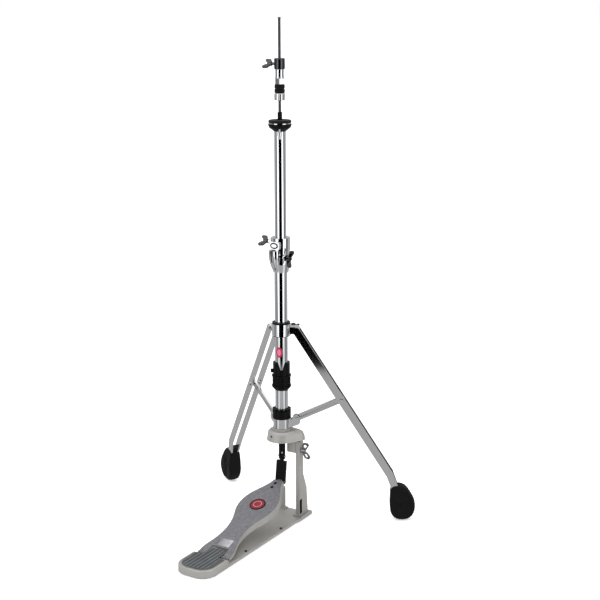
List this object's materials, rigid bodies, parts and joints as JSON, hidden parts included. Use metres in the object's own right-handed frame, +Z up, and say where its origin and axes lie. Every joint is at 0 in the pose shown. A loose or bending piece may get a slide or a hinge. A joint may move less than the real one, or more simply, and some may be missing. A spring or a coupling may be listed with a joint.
{
  "type": "hi-hat stand",
  "caption": "Two-legged hi-hat cymbal stand with a hinged footboard, pull rod, clutch, tilting cymbal seat and folding braced legs; no cymbals.",
  "frame": {"origin": "on the floor, on the axis of the main tube, at the underside of the base pad", "axes": "+Z up along the main tube, +Y from the heel to the toe of the pedal, +X to the player's right"},
  "size_m": [0.539, 0.5228, 1.118],
  "materials": {
    "casting": "satin warm grey paint over cast metal",
    "board": "textured dark grey paint on top, plain grey at the sides",
    "steel": "satin plated steel",
    "chrome": "polished chrome plate",
    "black_steel": "black oxide",
    "black_plastic": "matt black moulded plastic",
    "rubber": "black moulded rubber",
    "grey_rubber": "dark grey ribbed rubber",
    "black_felt": "black wool felt",
    "grey_felt": "grey wool felt",
    "badge": "red enamel",
    "spring_steel": "oiled spring steel"
  },
  "bodies": {
    "pedal_frame": {"base_plate": "casting", "base_pad": "rubber", "plate_screws": "black_steel", "plate_upright": "casting", "heel_plate": "casting", "heel_pad": "grey_rubber", "heel_pin": "chrome", "post": "casting", "head_casting": "casting", "head_set_screw": "black_steel", "lower_tube": "chrome", "clamp_bush": "black_plastic", "height_clamp": "chrome", "tension_collar": "black_plastic", "pull_spring": "spring_steel", "index_ring": "black_plastic"},
    "post_screw": {"post_wing_screw": "chrome"},
    "clamp_screw": {"clamp_wing_screw": "chrome"},
    "dial": {"tension_dial": "black_plastic"},
    "spring_seat": {"spring_seat": "black_steel"},
    "footboard": {"footboard": "board", "board_badge": "badge", "toe_pin": "chrome"},
    "strap": {"link_strap": "black_plastic"},
    "pull_rod": {"rod_clevis": "black_steel", "clevis_pin": "chrome", "lower_rod": "steel", "pull_rod": "steel", "rod_coupler": "black_steel"},
    "hub": {"leg_hub": "chrome", "hub_rivets": "chrome"},
    "collar": {"leg_collar": "chrome", "collar_rivets": "chrome", "collar_insert": "black_plastic"},
    "collar_screw": {"collar_wing_screw": "chrome"},
    "upper_tube": {"upper_tube": "chrome", "seat_cup": "black_plastic", "seat_sleeve": "black_plastic"},
    "memory_lock": {"memory_lock": "chrome"},
    "memory_screw": {"memory_wing_screw": "chrome"},
    "seat": {"seat_washer": "chrome", "seat_felt": "grey_felt"},
    "tilter": {"tilter_screw": "chrome"},
    "clutch": {"clutch_body": "chrome", "clutch_stem": "chrome", "clutch_felts": "black_felt"},
    "clutch_screw": {"clutch_wing_bolt": "chrome"},
    "clutch_nut": {"clutch_lower_nut": "chrome"},
    "right_leg": {"right_leg_outer_bar": "steel", "right_leg_inner_bar": "steel", "right_foot_bracket": "black_steel", "right_foot": "rubber", "right_strut_rivet": "chrome"},
    "right_strut": {"right_strut": "steel"},
    "left_leg": {"left_leg_outer_bar": "steel", "left_leg_inner_bar": "steel", "left_foot_bracket": "black_steel", "left_foot": "rubber", "left_strut_rivet": "chrome"},
    "left_strut": {"left_strut": "steel"}
  },
  "joints": [
    {"name": "pedal_press", "type": "hinge", "parent": "pedal_frame", "child": "footboard", "pos_m": [0, -0.272, 0.0134], "axis": [-1, 0, 0], "range_deg": [0, 5.2], "stiffness_Nm_per_rad": 12, "springref_deg": -11.46},
    {"name": "rod_pull", "type": "slide", "parent": "pedal_frame", "child": "pull_rod", "axis": [0, 0, 1], "range_m": [-0.02397, 0], "deforming": ["pull_spring"]},
    {"name": "strap_swing", "type": "hinge", "parent": "pull_rod", "child": "strap", "pos_m": [0, 0, 0.15], "axis": [-1, 0, 0], "range_deg": [-6.1, 0]},
    {"name": "post_screw_spin", "type": "hinge", "parent": "pedal_frame", "child": "post_screw", "pos_m": [0.035, 0.018, 0.166], "axis": [1, 0, 0], "continuous": true},
    {"name": "clamp_screw_spin", "type": "hinge", "parent": "pedal_frame", "child": "clamp_screw", "pos_m": [0, 0, 0.61], "axis": [0.9063, -0.4226, 0], "continuous": true},
    {"name": "tension_dial_turn", "type": "hinge", "parent": "pedal_frame", "child": "dial", "pos_m": [0, 0, 0.32], "axis": [0, 0, 1], "range_deg": [0, 270]},
    {"name": "spring_seat_lift", "type": "slide", "parent": "pedal_frame", "child": "spring_seat", "axis": [0, 0, 1], "range_m": [0, 0.0061], "deforming": ["pull_spring"]},
    {"name": "leg_swivel", "type": "hinge", "parent": "pedal_frame", "child": "hub", "pos_m": [0, 0, 0.24], "axis": [0, 0, 1], "range_deg": [-25, 25]},
    {"name": "leg_fold", "type": "slide", "parent": "hub", "child": "collar", "axis": [0, 0, 1], "range_m": [0, 0.04]},
    {"name": "collar_screw_spin", "type": "hinge", "parent": "collar", "child": "collar_screw", "pos_m": [0, 0, 0.4475], "axis": [0.1736, 0.9848, 0], "continuous": true},
    {"name": "height_slide", "type": "slide", "parent": "pedal_frame", "child": "upper_tube", "axis": [0, 0, 1], "range_m": [0, 0.024]},
    {"name": "memory_lock_slide", "type": "slide", "parent": "upper_tube", "child": "memory_lock", "axis": [0, 0, 1], "range_m": [0, 0.18]},
    {"name": "memory_screw_spin", "type": "hinge", "parent": "memory_lock", "child": "memory_screw", "pos_m": [0, 0, 0.641], "axis": [-0.9962, -0.0872, 0], "continuous": true},
    {"name": "tilter_turn", "type": "hinge", "parent": "upper_tube", "child": "tilter", "pos_m": [0.00925, -0.01602, 0.88], "axis": [0, 0, 1], "range_deg": [0, 720]},
    {"name": "seat_tilt", "type": "hinge", "parent": "upper_tube", "child": "seat", "pos_m": [-0.01, 0.01732, 0.8973], "axis": [-0.866, -0.5, 0], "range_deg": [0, 3.05]},
    {"name": "clutch_height", "type": "slide", "parent": "pull_rod", "child": "clutch", "axis": [0, 0, 1], "range_m": [0, 0.08]},
    {"name": "clutch_screw_spin", "type": "hinge", "parent": "clutch", "child": "clutch_screw", "pos_m": [0, 0, 1.022], "axis": [-0.9962, -0.0872, 0], "continuous": true},
    {"name": "clutch_nut_spin", "type": "hinge", "parent": "clutch", "child": "clutch_nut", "pos_m": [0, 0, 0.954], "axis": [0, 0, 1], "continuous": true},
    {"name": "right_leg_hinge", "type": "hinge", "parent": "collar", "child": "right_leg", "pos_m": [0.02892, 0.0167, 0.4445], "axis": [0.5, -0.866, 0], "range_deg": [-6.42, 0]},
    {"name": "right_strut_hinge", "type": "hinge", "parent": "hub", "child": "right_strut", "pos_m": [0.02858, 0.0165, 0.24], "axis": [0.5, -0.866, 0], "range_deg": [0, 18.23]},
    {"name": "left_leg_hinge", "type": "hinge", "parent": "collar", "child": "left_leg", "pos_m": [-0.02892, 0.0167, 0.4445], "axis": [0.5, 0.866, 0], "range_deg": [-6.42, 0]},
    {"name": "left_strut_hinge", "type": "hinge", "parent": "hub", "child": "left_strut", "pos_m": [-0.02858, 0.0165, 0.24], "axis": [0.5, 0.866, 0], "range_deg": [0, 18.23]}
  ],
  "couplings": [
    {"joint": "rod_pull", "follows": "pedal_press", "m_per_rad": -0.26189},
    {"joint": "strap_swing", "follows": "pedal_press", "ratio": -1.1634},
    {"joint": "spring_seat_lift", "follows": "tension_dial_turn", "m_per_rad": 0.0012732},
    {"joint": "seat_tilt", "follows": "tilter_turn", "ratio": 0.0041667},
    {"joint": "right_leg_hinge", "follows": "leg_fold", "rad_per_m": -2.7784},
    {"joint": "right_strut_hinge", "follows": "leg_fold", "rad_per_m": 7.9305},
    {"joint": "left_leg_hinge", "follows": "leg_fold", "rad_per_m": -2.7784},
    {"joint": "left_strut_hinge", "follows": "leg_fold", "rad_per_m": 7.9305}
  ]
}
